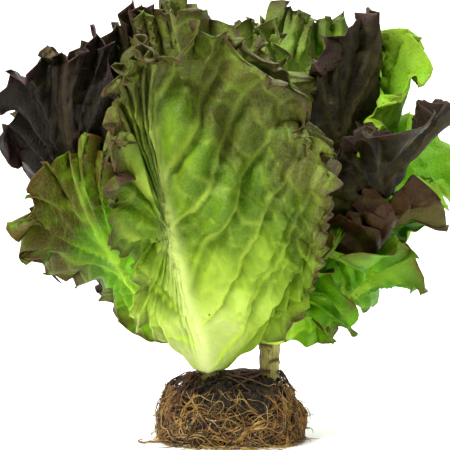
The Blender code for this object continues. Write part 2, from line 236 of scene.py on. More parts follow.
# plant, azimuth in degrees (-90 faces the front), layer, length, width, tissue, then what sets it apart;
# blush is where along the leaf the red begins and is full, and how strong it gets
leaves = {
    "front_leaf": ("left", -101, 1.0, 204, 140, "tinged",
        {"lopsided": 0.62, "pucker": 5.2, "lowLobe": 0.12, "cell": 1.15, "stalkHalf": 12, "veins": 33,
         "base": 0.54, "ruffle": 1.15, "crumple": 4.0, "blush": (0.62, 1.0, 0.75), "blushSide": -0.2}),
    "front_left_leaf": ("left", -143, 0.92, 166, 96, "bright",
        {"cell": 1.2, "drawnIn": (0.9, 0.82), "blush": (0.6, 0.95, 0.9), "blushSide": 0.3}),
    "low_left_leaf": ("left", -164, 0.84, 142, 100, "olive",
        {"cell": 1.25, "drawnIn": (0.88, 0.86), "blush": (0.4, 0.9, 0.7)}),
    "high_left_leaf": ("left", -152, 0.74, 196, 108, "deep",
        {"cell": 1.25, "pucker": 3, "drawnIn": (0.98, 0.7), "blush": (0.15, 0.45, 1.0)}),
    "inner_front_leaf": ("left", -80, 0.66, 196, 110, "tinged",
        {"cell": 1.25, "drawnIn": (0.99, 1), "blush": (0.7, 1.0, 0.8)}),
    "back_left_leaf": ("left", 156, 0.6, 166, 92, "olive",
        {"drawnIn": (0.94, 0.9), "blush": (0.4, 0.9, 0.7)}),
    "second_front_leaf": ("left", -124, 0.53, 192, 92, "maroon",
        {"drawnIn": (0.96, 1), "blush": (0.5, 0.9, 0.9)}),
    "inner_left_leaf": ("left", 180, 0.453, 176, 82, "olive", {"blush": (0.5, 0.9, 0.9)}),
    "third_front_leaf": ("left", -86, 0.39, 182, 76, "light",
        {"drawnIn": (0.98, 1), "blush": (0.9, 1.3, 0.6)}),
    "left_inside_leaf_1": ("left", 72, 0.74, 170, 84, "light", {"blush": (0.6, 1.0, 0.8)}),
    "left_inside_leaf_2": ("left", 6, 0.31, 160, 42, "light", {"blush": (0.7, 1.0, 0.8)}),
    "left_heart_leaf_1": ("left", 218, 0.25, 160, 58, "light", {"blush": (0.7, 1.0, 0.7)}),
    "left_heart_leaf_2": ("left", -46, 0.16, 138, 38, "light", {"blush": (0.8, 1.1, 0.6)}),
    "left_heart_leaf_3": ("left", 130, 0.05, 112, 32, "light", {"blush": (0.8, 1.2, 0.5)}),
    "low_middle_leaf": ("right", -70, 1.11, 58, 64, "bright",
        {"cell": 0.8, "ruffle": 1.7, "zone": 18, "blush": (1.0, 1.5, 0.4)}),
    "low_right_leaf": ("right", -22, 1.0, 98, 104, "bright",
        {"cell": 1.1, "drawnIn": (0.86, 0.92), "pucker": 3.4, "ruffle": 1.3, "blush": (0.9, 1.4, 0.5)}),
    # this leaf wears the brightened tissue with painted backlight
    "right_back_leaf": ("right", 38, 0.93, 182, 122, "paintedBacklitGreen",
        {"cell": 1.3, "drawnIn": (0.84, 0.74), "blush": (0.9, 1.5, 0.4)}),
    "back_leaf": ("right", 98, 0.85, 178, 122, "bright",
        {"cell": 1.35, "drawnIn": (0.81, 0.84), "blush": (0.7, 1.1, 0.7)}),
    "right_leaf": ("right", -6, 0.77, 122, 108, "olive",
        {"cell": 1.15, "drawnIn": (0.85, 0.88), "pucker": 3.4, "blush": (0.3, 0.75, 1.0)}),
    "back_middle_leaf": ("right", 130, 0.76, 174, 100, "tinged",
        {"drawnIn": (0.96, 0.95), "blush": (0.5, 0.9, 0.8)}),
    "high_right_leaf": ("right", -14, 0.585, 146, 100, "maroon",
        {"cell": 1.2, "drawnIn": (0.95, 0.94), "pucker": 3.4, "blush": (0.4, 0.85, 0.9)}),
    "inner_back_leaf": ("right", 70, 0.53, 176, 92, "tinged",
        {"drawnIn": (0.99, 1), "blush": (0.9, 1.4, 0.6)}),
    # this leaf wears the brightened tissue with painted backlight
    "inner_right_leaf": ("right", 4, 0.44, 164, 80, "paintedBacklitGreen", {"blush": (0.7, 1.2, 0.6)}),
    "second_back_leaf": ("right", 112, 0.38, 172, 74, "light",
        {"drawnIn": (0.95, 1), "blush": (0.9, 1.4, 0.6)}),
    "middle_leaf": ("right", -28, 0.29, 156, 64, "maroon", {"blush": (0.4, 0.8, 0.9)}),
    "right_inside_leaf_1": ("right", 238, 0.7, 164, 58, "light",
        {"slot": "red_leaves", "blush": (0.9, 1.3, 0.5)}),
    "right_inside_leaf_2": ("right", 204, 0.46, 158, 54, "light", {"blush": (0.6, 1.0, 0.8)}),
    "right_heart_leaf_1": ("right", 150, 0.17, 140, 36, "light", {"blush": (0.8, 1.1, 0.6)}),
    "right_heart_leaf_2": ("right", 40, 0.04, 114, 34, "light", {"blush": (0.8, 1.2, 0.5)}),
}


def spreadAt(values, reach):
    near, middle, far = values
    inner = near + (middle - near) * ramp(leafShape["nearReach"], leafShape["middleReach"], reach)
    outer = middle + (far - middle) * ramp(leafShape["middleReach"], leafShape["farReach"], reach)
    return np.where(reach < leafShape["middleReach"], inner, outer)


def leanOf(plant, azimuth, reach):
    # run over rise of the outermost layer: a rounded box, cut off towards the other plant
    along, across = np.cos(azimuth), np.sin(azimuth)
    spread = plant["spread"]
    side = np.where(along > 0, spreadAt(spread["right"], reach), spreadAt(spread["left"], reach))
    face = np.where(across > 0, spreadAt(spread["back"], reach), spreadAt(spread["front"], reach))
    towards = np.maximum(0, np.cos(azimuth - plant["cutAzimuth"]))
    total = np.abs(along / side) ** 3 + np.abs(across / face) ** 3 + (towards / plant["cut"]) ** 3
    return total ** (-1 / 3)


def onLayer(plant, layer, azimuth, reach, start):
    lean = layer * leanOf(plant, azimuth, reach)
    settle = ramp(0, 60, reach)
    way = np.stack([lean * np.cos(azimuth) + settle * plant["heart"][0],
                    lean * np.sin(azimuth) + settle * plant["heart"][1], np.ones_like(lean)], -1)
    way /= np.linalg.norm(way, axis=-1, keepdims=True)
    fold = np.sin(leafShape["foldsAround"] * azimuth + math.tau * reach / leafShape["foldLength"])
    out = start + leafShape["foldDepth"] * fold * ramp(30, 110, reach)
    height = plant["leafTop"] - layer * (plant["leafTop"] - plant["leafLow"])
    foot = np.stack([plant["x"] + out * np.cos(azimuth), plant["y"] + out * np.sin(azimuth),
                     np.full_like(lean, height)], -1)
    return foot + reach[..., None] * way


def ribThickness(width):
    return max(leafShape["leastRib"], leafShape["ribShare"] * width)


def roomFor(plantName, layer, theta, reach):
    # how far a point may move outwards and inwards before it meets the leaves nested over and under it
    plant = plants[plantName]
    lean = leanOf(plant, theta, reach)
    roomOut = np.full_like(reach, 60.0)
    roomIn = np.full_like(reach, 60.0)
    for otherPlant, azimuthDegrees, otherLayer, length, width, kind, extra in leaves.values():
        if otherPlant != plantName or otherLayer == layer:
            continue
        away = (theta - math.radians(azimuthDegrees) + math.pi) % math.tau - math.pi
        radius = 6 + reach * otherLayer * lean / np.hypot(1, otherLayer * lean)
        sideways = radius * leafShape["wrap"] * np.arctanh(np.clip(np.abs(away) / leafShape["wrap"], 0, 0.98))
        half = width / 2 * np.sin(np.clip(reach / length, 0.05, 1) * math.pi / 1.6)
        covered = ramp(half + 9, half - 3, sideways) * ramp(length + 6, length - 8, reach)
        gap = abs(otherLayer - layer) * lean * reach / np.hypot(1, layer * lean) * 0.5
        room = (gap + 0.4) / np.maximum(covered, 0.005)
        if otherLayer > layer:
            roomOut = np.minimum(roomOut, room)
        else:
            roomIn = np.minimum(roomIn, room)
    return roomOut, roomIn


def outlineOf(c, a, length, width, seed, extra):
    # the flat leaf with its lobed and toothed margin, from c across (-1 to 1) and a along (0 at the stalk)
    widestAt, topWidth = leafShape["widestAt"], leafShape["topWidth"]
    uneven = extra.get("lopsided", 0)
    widest = width / 2 * np.where(c > 0, 1 + uneven, 1 - uneven)
    turn = np.clip(a / widestAt, 0, 1)
    fall = np.clip((a - widestAt) / (1 - widestAt), 0, 1)
    share = np.where(a < widestAt, np.sin(math.pi / 2 * turn) ** extra.get("base", leafShape["base"]),
                     topWidth + (1 - topWidth) * np.cos(math.pi / 2 * fall))
    stalkHalf = extra.get("stalkHalf", min(leafShape["stalkHalf"], 0.16 * width))
    half = stalkHalf + (widest - stalkHalf) * share
    half += width * extra.get("lowLobe", 0) * np.exp(-((a - 0.26) / 0.13) ** 2) * np.where(c > 0, 1, 0.5)
    phi = np.arctan2(c * 0.9, (a - 0.5) * 1.7)  # round the margin, 0 at the tip
    round1, round2 = np.cos(phi), np.sin(phi)
    perimeter = 1.6 * length + width
    teeth = np.cos(phi * perimeter / leafShape["toothWave"] + 5 * wander(round1 * 6, round2 * 6, seed + 2))
    scallops = np.abs(np.sin(phi * perimeter / leafShape["scallopWave"] / 2
                             + 1.6 * wander(round1 * 2.5, round2 * 2.5, seed + 6)))
    lobe = 0.035 * wander(round1 * 2.2, round2 * 2.2, seed) + 0.02 * wander(round1 * 7, round2 * 7, seed + 7)
    lobe += leafShape["scallopHeight"] / length * (scallops - 0.6)
    lobe += leafShape["toothHeight"] / length * teeth
    openness = ramp(0.03, 0.24, a)
    reach = length * a * (1 - leafShape["shoulderDrop"] * np.abs(c) ** 2.6 * a ** 1.5) * (1 + lobe * a ** 6)
    w = c * half * (1 + lobe * np.abs(c) ** 6 * openness * 1.6 * length / width)
    return half, w, reach, phi, perimeter, openness


def veinsOf(a, w, reach, margin, width, size, seed, extra):
    # a midrib, side veins that fan up to the margin, and cross veins between them like brickwork
    spacing = extra.get("veins", leafShape["sideVeinSpacing"]) * size
    crossing = leafShape["crossVeinSpacing"] * size
    aw = np.abs(w)
    sway = 6 * wander(reach / 38, w / 38, seed + 3) + 2.0 * wander(reach / 13, w / 13, seed + 8)
    q = (reach - 1.15 * aw - 0.002 * aw ** 2 + sway) / spacing + np.where(w > 0, 0.0, 0.5)
    course = np.floor(q)
    f1 = q - course
    sideDistance = np.minimum(f1, 1 - f1) * spacing * 0.6
    stagger = np.modf(np.abs(np.sin(course * 12.9898 + np.where(w > 0, 1.3, 4.7)) * 437.58))[0]
    r = (aw * 1.25 + 0.5 * f1 * spacing + 3.5 * wander(reach / 14, w / 14, seed + 5)) / crossing + stagger
    f2 = r - np.floor(r)
    crossDistance = np.minimum(f2, 1 - f2) * crossing * 0.8
    ribWidth = 0.7 + ribThickness(width) * 1.3 * (1 - a) ** 0.8
    midrib = np.exp(-(w / ribWidth) ** 2)
    fade = np.exp(-aw / (width * 0.5))
    sideWidth = 0.6 + 1.2 * fade * size
    sideVein = np.exp(-(sideDistance / sideWidth) ** 2) * (0.3 + 0.7 * fade) * ramp(1, 7, margin)
    crossVein = np.exp(-(crossDistance / 0.75) ** 2) * 0.42 * ramp(1, 6, margin) * ramp(3, 10, aw)
    vein = np.maximum(midrib, np.maximum(sideVein, crossVein))

    # the blade swells between the veins, creases beside them and crumples
    pillow = (np.sin(math.pi * f1) ** 0.7) * (0.6 + 0.4 * np.sin(math.pi * f2) ** 0.7)
    groove = (np.exp(-((sideDistance - 2.6 * size) / (1.4 * size)) ** 2)
              * ramp(0.0, 0.5, f1) * (1 - 0.5 * ramp(0.5, 1, f1)))
    crease = wander(q * spacing / 14, aw / 30, seed + 15)
    crumple = (0.5 - np.abs(wander(reach / 17, w / 17, seed + 81))
               - 0.5 * np.abs(wander(reach / 8, w / 8, seed + 83)))
    swell = wander(reach / 32, w / 32, seed + 11)
    aboveStalk = ramp(0.06, 0.3, a)
    pucker = extra.get("pucker", leafShape["pucker"]) * size * aboveStalk
    nearRib = ramp(1, 10, aw)
    lift = pucker * nearRib * (0.9 * pillow - 1.1 * groove + 0.9 * crease)
    lift = lift + 0.9 * midrib * (1 - a) + 0.9 * sideVein
    lift += (4.2 * size * swell + extra.get("crumple", leafShape["crumple"]) * crumple) * aboveStalk
    # painted shade: creaseShade rises in the grooves, creases and crumpled hollows of the blade and darkens the
    # colour there
    creaseShade = 0.5 * pillow - 0.8 * groove + 0.55 * crease + 0.5 * crumple
    creaseShade = np.clip(0.45 - 0.9 * nearRib * aboveStalk * creaseShade, 0, 1)
    return vein, ribWidth, lift, creaseShade


def frillOf(a, phi, perimeter, margin, openness, room, size, seed, extra):
    # the margin rolls outwards and back, then two finer waves run along it, each fading inwards
    round1, round2 = np.cos(phi), np.sin(phi)
    ruffle = size * extra.get("ruffle", 1.0) * openness * (1 + 0.6 * ramp(0.5, 0.95, a))
    waves = []
    for key, offset in (("bigWave", 17), ("midWave", 23), ("smallWave", 31)):
        count = perimeter / leafShape[key]
        phase = phi * count + 1.8 * wander(round1 * count * 0.09, round2 * count * 0.09, seed + offset)
        heavy = 0.8 + 0.7 * wander(round1 * count * 0.11 + 9, round2 * count * 0.11, seed + offset + 2)
        waves.append((phase, np.clip(heavy, 0.15, 1.6)))
    (phase1, heavy1), (phase2, heavy2), (phase3, heavy3) = waves
    zone = extra.get("zone", leafShape["zone"]) * size * (1 + 0.5 * ramp(0.5, 0.95, a))
    inMargin = np.clip(1 - margin / zone, 0, 1)
    roll = np.radians(leafShape["roll"] + leafShape["rollSwing"] * np.sin(phase1) * heavy1) * openness
    roll *= ramp(1, 12, np.where(roll > 0, *room))
    roll = np.where(np.abs(roll) < 0.03, 0.03, roll)
    bend = inMargin * roll
    outShift = zone * (np.sin(bend) / roll - inMargin)
    upShift = zone * (1 - np.cos(bend)) / roll
    upShift += 3.0 * ruffle * np.exp(-margin / 26) * np.sin(phase1 + 0.8) * heavy1
    height2 = leafShape["midHeight"] * ruffle * heavy2 * np.exp(-margin / 13)
    height3 = leafShape["smallHeight"] * ruffle * heavy3 * np.exp(-margin / 4)
    wavy = height2 * np.sin(phase2) + height3 * np.sin(phase3)
    sideways = -0.27 * height2 * np.sin(2 * phase2) - 0.4 * height3 * np.sin(2 * phase3)
    return inMargin, upShift + np.cos(bend) * wavy, outShift - 0.4 * np.sin(bend) * wavy, sideways


def makeLeaf(name, plantName, azimuthDegrees, layer, length, width, kind, extra):
    plant, azimuth = plants[plantName], math.radians(azimuthDegrees)
    lengthScale, widthScale = extra.get("drawnIn", leafShape["drawnIn"])
    length, width = length * lengthScale, width * widthScale
    size = 0.55 + 0.45 * min(1, width / 110)  # finer veins and frills on a narrow leaf
    seed = (sum(map(ord, name)) * 0.731) % 50
    cell = extra.get("cell", leafShape["cell"])
    rows = max(20, round(length / cell * 1.1))
    columns = max(18, round(width / cell * 1.2))
    sheet = bmesh.new()
    bmesh.ops.create_grid(sheet, x_segments=columns, y_segments=rows, size=1)
    mesh = bpy.data.meshes.new(name)
    sheet.to_mesh(mesh)
    sheet.free()
    flat = np.empty(len(mesh.vertices) * 3)
    mesh.vertices.foreach_get("co", flat)
    flat = flat.reshape(rows + 1, columns + 1, 3)
    c = flat[..., 0] * (1.25 - 0.25 * flat[..., 0] ** 2)  # across, -1 to 1, closer together at the edges
    a = (flat[..., 1] + 1) / 2
    a = a * (1.2 - 0.2 * a * a)                            # along, 0 at the stalk
    half, w, reach, phi, perimeter, openness = outlineOf(c, a, length, width, seed, extra)
    toSide = (1 - np.abs(c)) * half
    toTip = (1 - a) * length
    margin = toSide * toTip / (toSide + toTip + 0.01)

    # set on its layer
    lean0 = layer * leanOf(plant, np.array(azimuth), np.array(0.0))
    stemRadius = plant["topRadius"] + layer * (plant["lowRadius"] - plant["topRadius"])
    start = stemRadius + leafShape["gap"] + ribThickness(width) / 2 / math.hypot(1, float(lean0))
    run = layer * leanOf(plant, azimuth + 0 * reach, reach)
    radius = start + reach * run / np.hypot(1, run)
    wrap = leafShape["wrap"]
    theta = azimuth + wrap * np.tanh(w / radius / wrap)
    base = onLayer(plant, layer, theta, reach, start)

    # its directions: off the face, towards the nearest margin, and along that margin
    alongWay = np.gradient(base, axis=0)
    acrossWay = np.gradient(base, axis=1)
    normal = np.cross(acrossWay, alongWay)
    normal /= np.linalg.norm(normal, axis=-1, keepdims=True) + 1e-9
    outward = np.stack([np.cos(theta), np.sin(theta), 0 * theta], -1)
    if (normal * outward).sum() < 0:
        normal = -normal
    alongWay /= np.linalg.norm(alongWay, axis=-1, keepdims=True) + 1e-9
    acrossWay /= np.linalg.norm(acrossWay, axis=-1, keepdims=True) + 1e-9
    sideShare = (toTip / (toSide + toTip + 0.01))[..., None]
    toOut = sideShare * np.sign(c)[..., None] * acrossWay + (1 - sideShare) * alongWay
    toOut -= (toOut * normal).sum(-1, keepdims=True) * normal
    toOut /= np.linalg.norm(toOut, axis=-1, keepdims=True) + 1e-9
    marginWay = np.cross(normal, toOut)

    vein, ribWidth, lift, creaseShade = veinsOf(a, w, reach, margin, width, size, seed, extra)
    roomOut, roomIn = roomFor(plantName, layer, theta, reach)
    inMargin, frillLift, frillOut, sideways = frillOf(a, phi, perimeter, margin, openness, (roomOut, roomIn),
                                                      size, seed, extra)
    move = lift * (1 - 0.7 * inMargin) + frillLift
    move = np.where(move > 0, roomOut * np.tanh(move / roomOut), roomIn * np.tanh(move / roomIn))
    points = base + normal * move[..., None] + toOut * frillOut[..., None]
    points += marginWay * sideways[..., None]
    mesh.vertices.foreach_set("co", (points * mm).ravel())

    # what the tissue needs to know at each point
    begin, full, most = extra["blush"]
    patches = wander(reach / 22, w / 22, seed + 51)
    stained = a + 0.12 * patches + 0.4 * np.exp(-margin / 11) - extra.get("blushSide", 0) * c
    pale = (1 - ramp(0.08, 0.62, a + 0.06 * patches)) * (1 - 0.6 * ramp(0.15, 0.8, c))
    # creaseShade carries the painted shade of the grooves and hollows to the tissue
    masks = {"vein": vein * (1 - 0.5 * ramp(0.5, 1, a)), "rim": np.exp(-margin / 2.6) * openness,
             "blush": np.clip(most * ramp(begin, full, stained), 0, 1), "stalk": pale,
             "tone": 0.5 + 0.5 * wander(reach / 27 + 4, w / 27, seed + 61), "creaseShade": creaseShade,
             "rib": np.exp(-(w / (ribWidth * 0.8)) ** 2) * (1 - ramp(0.15, 0.85, a))}
    for key, values in masks.items():
        mesh.attributes.new(key, "FLOAT", "POINT").data.foreach_set("value", values.ravel())
    mesh.shade_smooth()
    leaf = bpy.data.objects.new(f"{name}_ruffled", mesh)
    bpy.context.scene.collection.objects.link(leaf)
    for material in leafMaterials[kind]:
        mesh.materials.append(material)

    # thick at the midrib, thin in the blade
    rib = leaf.vertex_groups.new(name="rib")
    thick = np.exp(-(w / 4.5) ** 2) * (1 - 0.9 * ramp(0, 0.75, a))
    for index, weight in enumerate(thick.ravel().tolist()):
        if weight > 0.01:
            rib.add([index], weight, "REPLACE")
    wall = leaf.modifiers.new("thickness", "SOLIDIFY")
    wall.thickness = ribThickness(width) * mm
    wall.offset = 0
    wall.vertex_group = "rib"
    wall.thickness_vertex_group = leafShape["thickness"] / ribThickness(width)
    wall.material_offset = 1
    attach(leaf, "root")
    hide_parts(name)


for name, values in leaves.items():
    makeLeaf(name, *values)
print("leaves ready")

# root ball: peat bound by roots, in mm; the taper and the roundings are shares
ball = {"wide": 76.0, "deep": 65.0, "tall": float(np.array(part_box("root_ball")[1])[2] / mm), "halfTall": 17.5,
        "taperTop": 0.8, "corner": 0.72, "lumps": 1.6, "bulges": 3.4,
        "topRounding": 0.15, "footRounding": 0.06, "cuts": 84, "crumb": 1.1, "crumbGrains": 420}
random.seed(7)


def ballSurface(x, y, z):
    # where the direction (x, y, z) of a cube from -1 to 1 leaves the ball
    taper = 1 - (1 - ball["taperTop"]) * ((z + 1) / 2) ** 2.2
    flat = math.hypot(x, y)
    corner = (max(abs(x), abs(y)) / flat) ** ball["corner"] if flat > 1e-6 else 1
    mound = (0.94 + 0.1 * math.exp(-(flat / 0.7) ** 2)) if z > 0.99 else 0.94
    point = Vector((x * ball["wide"] / 2 * taper * corner, y * ball["deep"] / 2 * taper * corner,
                    ball["halfTall"] * (1 + z) * mound))
    lump = noise.noise(point * 0.11) * ball["lumps"] + noise.noise(point * 0.055) * ball["bulges"]
    lump *= float(ramp(-1, -0.6, z))
    return point + Vector((x, y, max(0, z))).normalized() * lump


def onBall(azimuth, height, proud):
    # a point this far outside the side of the ball, with height from 0 at the foot to 1 at the top
    turn = math.radians(azimuth)
    square = max(abs(math.cos(turn)), abs(math.sin(turn)))
    point = ballSurface(math.cos(turn) / square, math.sin(turn) / square, 2 * height - 1)
    return point + Vector((math.cos(turn), math.sin(turn), 0.25)).normalized() * proud


def meshPiece(name, sheet, material, replaced):
    mesh = bpy.data.meshes.new(name)
    bmesh.ops.recalc_face_normals(sheet, faces=sheet.faces)
    sheet.to_mesh(mesh)
    sheet.free()
    mesh.shade_smooth()
    mesh.materials.append(material)
    piece = bpy.data.objects.new(name, mesh)
    bpy.context.scene.collection.objects.link(piece)
    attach(piece, "root")
    for node in replaced:
        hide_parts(node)
    return piece


def grainMaterial(name, colours, scale, roughness, depth):
    # matt natural crumb or fibre: three tones broken up at two sizes, with a rough relief; scale 160 gives
    # 6 mm patches and grains of about 1 mm
    material, tree, shader = newMaterial(name)
    place = addNode(tree, "ShaderNodeTexCoord").outputs["Object"]
    coarse = addNode(tree, "ShaderNodeTexNoise", {"Vector": place},
                     inputs={"Scale": scale, "Detail": 8.0, "Roughness": 0.7})
    fine = addNode(tree, "ShaderNodeTexVoronoi", {"Vector": place}, inputs={"Scale": scale * 7})
    tones = addNode(tree, "ShaderNodeValToRGB", {"Fac": coarse.outputs["Fac"]})
    tones.color_ramp.elements[0].position = 0.36
    tones.color_ramp.elements[0].color = linearColour(colours[0])
    tones.color_ramp.elements[1].position = 0.66
    tones.color_ramp.elements[1].color = linearColour(colours[2])
    tones.color_ramp.elements.new(0.5).color = linearColour(colours[1])
    tree.links.new(tones.outputs["Color"], shader.inputs["Base Color"])
    relief = addNode(tree, "ShaderNodeMath", {0: coarse.outputs["Fac"], 1: fine.outputs["Distance"]},
                     operation="ADD")
    bump = addNode(tree, "ShaderNodeBump", {"Height": relief.outputs["Value"]},
                   inputs={"Strength": 0.8, "Distance": depth})
    tree.links.new(bump.outputs["Normal"], shader.inputs["Normal"])
    gloss = addNode(tree, "ShaderNodeMapRange", {"Value": fine.outputs["Distance"]},
                    inputs={"To Min": roughness - 0.12, "To Max": roughness})
    tree.links.new(gloss.outputs["Result"], shader.inputs["Roughness"])
    return material


peat = grainMaterial("dampPeat", ("#15120d", "#2b2218", "#483820"), 160, 0.95, 0.0012)
rootMaterials = {
    "orange": grainMaterial("tanRootFibre", ("#573813", "#8f6728", "#b98e46"), 120, 0.8, 0.0003),
    "pale": grainMaterial("paleRootFibre", ("#745f38", "#a68e58", "#cdb680"), 120, 0.75, 0.0003),
    "red": grainMaterial("redBrownRootFibre", ("#3a2217", "#5f3b24", "#87603a"), 120, 0.8, 0.0003),
    "dark": grainMaterial("darkRootFibre", ("#1c160e", "#362818", "#58432a"), 120, 0.85, 0.0003),
}

body = bmesh.new()
bmesh.ops.create_cube(body, size=2)
bmesh.ops.subdivide_edges(body, edges=body.edges, cuts=ball["cuts"], use_grid_fill=True)
for vert in body.verts:
    x, y, z = vert.co
    rounding = float(ramp(0.2, 1, abs(z)) * ramp(0.5, 1, max(abs(x), abs(y))))
    shrink = 1 - rounding * (ball["topRounding"] if z > 0 else ball["footRounding"])
    point = ballSurface(x * shrink, y * shrink, z)
    out = Vector((x, y, 1.2 * max(0, z) ** 3)).normalized()
    crumbs = noise.noise(point * 0.16) * 2.6 + noise.noise(point * 0.45) * 1.5
    crumbs += noise.noise(point * 1.3) * 0.5
    point += out * (crumbs * ball["crumb"] - 1.4) * (0.15 if z < -0.999 else 1)
    point.z = max(point.z, 0.0) if z > -0.999 else 0.0
    vert.co = point * mm
meshPiece("peat_ball", body, peat, ["root_ball"])

crumbs = bmesh.new()
for index in range(ball["crumbGrains"]):
    start = len(crumbs.verts)
    grain = bmesh.ops.create_icosphere(crumbs, subdivisions=1, radius=random.uniform(0.5, 1.7) * mm)["verts"]
    if index % 2:
        spot = ballSurface(random.uniform(-0.92, 0.92), random.uniform(-0.92, 0.92), 1) + Vector((0, 0, -0.3))
    else:
        spot = onBall(random.uniform(0, 360), random.uniform(0.03, 0.97), -0.2)
    for vert in grain:
        vert.co = vert.co * random.uniform(0.7, 1.3) + spot * mm
        vert.co.z = max(vert.co.z, 0)
meshPiece("peat_crumbs", crumbs, peat, [])


def blend(stops, share):
    # a smooth curve through evenly spaced stops
    at = share * (len(stops) - 1)
    index = min(int(at), len(stops) - 2)
    t = at - index
    last = len(stops) - 1
    before, begin, end, after = (Vector(stops[min(max(index + k, 0), last)]) for k in (-1, 0, 1, 2))
    return 0.5 * (2 * begin + (end - before) * t + (2 * before - 5 * begin + 4 * end - after) * t ** 2
                  + (3 * begin - before - 3 * end + after) * t ** 3)


def rootPiece(name, paths, tone, replaced=()):
    # roots as round strands: each path is its points in mm and its radius at the two ends
    curve = bpy.data.curves.new(name, "CURVE")
    curve.dimensions = "3D"
    curve.bevel_depth = mm
    curve.bevel_resolution = 1 if replaced else 0
    curve.use_fill_caps = True
    for points, thick, thin in paths:
        strand = curve.splines.new("POLY")
        strand.points.add(len(points) - 1)
        for step, (target, point) in enumerate(zip(strand.points, points)):
            share = step / (len(points) - 1)
            radius = thick + (thin - thick) * share ** 1.2
            target.co = (point[0] * mm, point[1] * mm, max(point[2], radius) * mm, 1)
            target.radius = radius * (1 + 0.25 * noise.noise(Vector(point) * 0.6))
    piece = bpy.data.objects.new(name, curve)
    curve.materials.append(rootMaterials[tone])
    bpy.context.scene.collection.objects.link(piece)
    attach(piece, "root")
    for node in replaced:
        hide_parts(node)
    return piece


# the roots that stand out, each by its azimuth and height on the ball
ballRoots = {
    "root_front_1": ((-124, 0.86), (-131, 0.45), (-122, 0.06)),
    "root_front_2": ((-116, 0.55), (-100, 0.24), (-78, 0.40)),
    "root_front_3": ((-84, 0.10), (-66, 0.36), (-44, 0.30)),
    "root_front_4": ((-60, 0.82), (-50, 0.62), (-36, 0.12)),
    "root_left": ((-150, 0.88), (-168, 0.50), (-150, 0.14)),
    "root_right": ((-12, 0.90), (8, 0.45), (-6, 0.10)),
    "root_back_1": ((62, 0.84), (78, 0.40), (56, 0.08)),
    "root_back_2": ((128, 0.80), (104, 0.42), (134, 0.14)),
}
# those that run out on the ground: the azimuth where each leaves the ball, then its places in mm
groundRoots = {
    "ground_root_1": (-98, ((-1, -43), (8, -45), (14, -52))),
    "ground_root_2": (-84, ((9, -40), (17, -43), (27, -41))),
    "ground_root_3": (-113, ((-18, -41), (-12, -47), (-3, -50))),
    "ground_root_4": (-164, ((-45, -16), (-50, -12), (-48, -4))),
}
strong = []
for stops in ballRoots.values():
    path = [blend(stops, step / 26) for step in range(27)]
    points = [onBall(az, h, 1.1 + 0.7 * noise.noise(Vector((az * 0.09, h * 9, 3)))) for az, h in path]
    strong.append((points, 0.75, 0.3))
rootPiece("strong_roots", strong, "orange", list(ballRoots))
strong = []
for azimuth, along in groundRoots.values():
    stops = [onBall(azimuth, 0.03, 0.3).xy, *along]
    path = [blend(stops, step / 22) for step in range(23)]
    points = [(x, y, 0.8 + 0.5 * noise.noise(Vector((x * 0.3, y * 0.3, 5)))) for x, y in path]
    strong.append((points, 0.7, 0.3))
rootPiece("ground_roots", strong, "orange", list(groundRoots))


def wanderingRoot(azimuth, height, heading, length, turning, lift):
    # a fine root that creeps over the side of the ball
    points = []
    seedHere = random.uniform(0, 90)
    stride, radius = 2.2, 38
    for step in range(int(length / stride)):
        bow = lift * math.sin(math.pi * step * stride / length)
        points.append(onBall(azimuth, height, 0.2 + bow + 0.8 * noise.noise((step * 0.4, seedHere, 1))))
        heading += turning * noise.noise((step * 0.22, seedHere, 7))
        azimuth += math.degrees(stride * math.cos(heading) / radius)
        height = max(0.015, height + stride * math.sin(heading) / ball["tall"])
        if height > 0.93:
            break
    return points


fineRoots = {"dark": 150, "red": 150, "orange": 270, "pale": 90}  # strands of each tone
for tone, count in fineRoots.items():
    bright = tone in ("orange", "pale")  # these gather low down and on the right
    strands = []
    while len(strands) < count:
        low = len(strands) % (2 if bright else 3) == 0
        # painted light: many bright roots are drawn to the right side, partly for the tan roots there and
        # partly to lighten the side the key light leaves in shade
        gatheredToLiftShade = bright and len(strands) % 5 > 2
        azimuth = random.gauss(-28, 26) if gatheredToLiftShade else random.uniform(-180, 180)
        height = random.uniform(0.02, 0.34) if low else random.uniform(0.05, 0.88)
        bare = abs(azimuth + 84) < 44 and height > 0.38  # dark peat shows in the upper middle of the front
        if bare and tone != "dark" and random.random() < 0.93:
            continue
        heading = random.choice((0, math.pi)) if low else random.uniform(0, math.tau)
        length = random.uniform(14, 24) if bare else random.uniform(22, 75)
        path = wanderingRoot(azimuth, height, heading, length, 1.3, random.uniform(0.3, 2.8))
        if len(path) > 4:
            strands.append((path, random.uniform(0.2, 0.46), 0.12))
    rootPiece(f"{tone}_fine_roots", strands, tone)

# roots that leave the foot of a stem, cross the top and hang over the shoulder
strands = []
for index in range(64):
    stemX, stemY = ((leftX, leftY), (rightX, rightY))[index % 2]
    azimuth, drop = random.uniform(-180, 180), random.uniform(0.2, 0.85)
    if abs(azimuth + 84) < 42 and index % 3:
        continue
    rim = onBall(azimuth, 0.93, 0.2)
    turn = math.radians(azimuth)
    path = []
    for step in range(9):
        share = step / 9
        out = 5.5 * (1 - share)
        path.append((stemX + (rim.x - stemX) * share + out * math.cos(turn) + random.uniform(-0.5, 0.5),
                     stemY + (rim.y - stemY) * share + out * math.sin(turn) + random.uniform(-0.5, 0.5),
                     36.5 + (rim.z - 36.5) * share ** 2 + random.uniform(-0.4, 0.9)))
    for step in range(11):
        sway = 9 * noise.noise((index, step * 0.3, 2)) * step / 4
        path.append(onBall(azimuth + sway, 0.93 - drop * step / 10, 0.6 + 0.6 * math.sin(step)))
    strands.append((path, random.uniform(0.3, 0.6), 0.12))
rootPiece("shoulder_roots", strands, "red")

